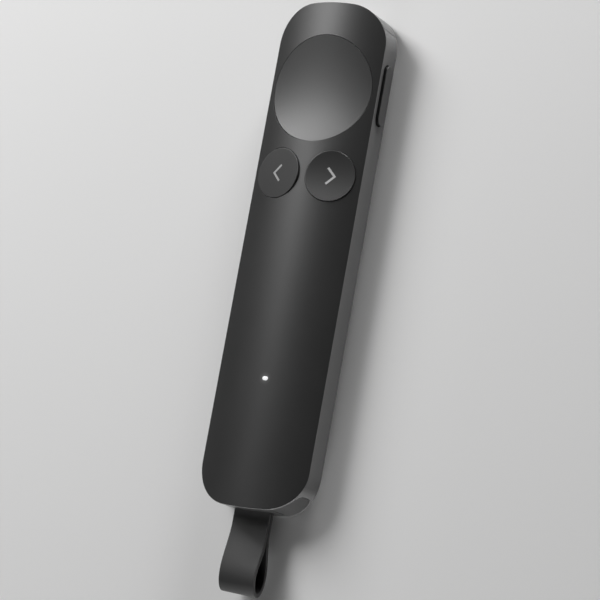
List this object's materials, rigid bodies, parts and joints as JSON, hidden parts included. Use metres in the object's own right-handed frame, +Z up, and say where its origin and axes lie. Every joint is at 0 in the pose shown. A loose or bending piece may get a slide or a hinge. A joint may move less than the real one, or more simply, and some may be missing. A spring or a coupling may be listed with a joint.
{
  "type": "wireless presentation clicker",
  "caption": "Slim lens-shaped presentation clicker: dished pointer key, two small arrow keys, side key, status light and a receiver with a pull loop parked in the end.",
  "frame": {"origin": "centre of the flat land on the back that the clicker lies on", "axes": "+X across the body towards the side key, +Y along the body towards the pointer key's end, +Z up out of the face; the pull loop points to -Y"},
  "size_m": [0.0287, 0.1382, 0.0122],
  "materials": {
    "shell": "fine satin texture, near black",
    "band": "satin dark grey with a polished rim",
    "end_cap": "satin dark grey",
    "key": "fine satin texture, dark grey",
    "side_key": "satin dark grey",
    "arrow": "light grey inlay",
    "light_pipe": "clear, lit white",
    "led": "pale yellow resin",
    "board": "green solder mask",
    "screw": "zinc plated",
    "cradle": "black moulding",
    "flex": "amber film",
    "switch_can": "stamped steel",
    "plunger": "black nylon",
    "cell": "foil pouch",
    "tape": "black foam tape",
    "lead": "red and black insulation",
    "socket": "ivory nylon",
    "port": "drawn steel",
    "tongue": "black moulding",
    "shield": "tin plated steel",
    "ceramic": "pale ceramic",
    "chip": "black epoxy",
    "motor": "drawn steel",
    "sleeve": "black rubber",
    "shaft": "ground steel",
    "weight": "sintered heavy metal",
    "receiver": "satin black",
    "plug": "nickel plated",
    "pin": "ground steel",
    "strap": "smooth dark grey elastomer"
  },
  "bodies": {
    "case": {"front_cover": "shell", "side_band": "band", "back_cover": "shell", "top_end_cap": "end_cap", "bottom_end_cap": "end_cap", "light_pipe": "light_pipe", "status_led": "led", "main_board": "board", "board_screws": "screw", "key_cradle": "cradle", "key_flex": "flex", "pointer_switch": "switch_can", "prev_switch": "switch_can", "next_switch": "switch_can", "side_switch": "switch_can", "battery_cell": "cell", "battery_tape": "tape", "battery_leads": "lead", "battery_socket": "socket", "charge_port": "port", "charge_tongue": "tongue", "radio_shield": "shield", "aerial_chip": "ceramic", "motion_sensor": "chip", "controller_chip": "chip", "motor_can": "motor", "motor_sleeve": "sleeve"},
    "pointer": {"pointer_key": "key", "pointer_plunger": "plunger"},
    "prev": {"prev_key": "key", "prev_arrow": "arrow", "prev_plunger": "plunger"},
    "next": {"next_key": "key", "next_arrow": "arrow", "next_plunger": "plunger"},
    "side": {"side_key": "side_key", "side_plunger": "plunger"},
    "weight": {"motor_shaft": "shaft", "motor_weight": "weight"},
    "receiver": {"receiver_head": "receiver", "receiver_plug": "plug", "plug_insert": "tongue", "receiver_board": "board", "strap_pin": "pin", "strap_loop": "strap"}
  },
  "joints": [
    {"name": "pointer_press", "type": "slide", "parent": "case", "child": "pointer", "axis": [0, 0, -1], "range_m": [0, 0.0003], "stiffness_N_per_m": 600},
    {"name": "prev_press", "type": "slide", "parent": "case", "child": "prev", "axis": [0.205, 0, -0.9788], "range_m": [0, 0.0003], "stiffness_N_per_m": 600},
    {"name": "next_press", "type": "slide", "parent": "case", "child": "next", "axis": [-0.205, 0, -0.9788], "range_m": [0, 0.0003], "stiffness_N_per_m": 600},
    {"name": "side_press", "type": "slide", "parent": "case", "child": "side", "axis": [-1, 0, 0], "range_m": [0, 0.0003], "stiffness_N_per_m": 600},
    {"name": "weight_spin", "type": "hinge", "parent": "case", "child": "weight", "pos_m": [-0.0055, -0.038, 0.00657], "axis": [0, 1, 0], "continuous": true},
    {"name": "receiver_pull", "type": "slide", "parent": "case", "child": "receiver", "axis": [0, -1, 0], "range_m": [0, 0.03]}
  ]
}
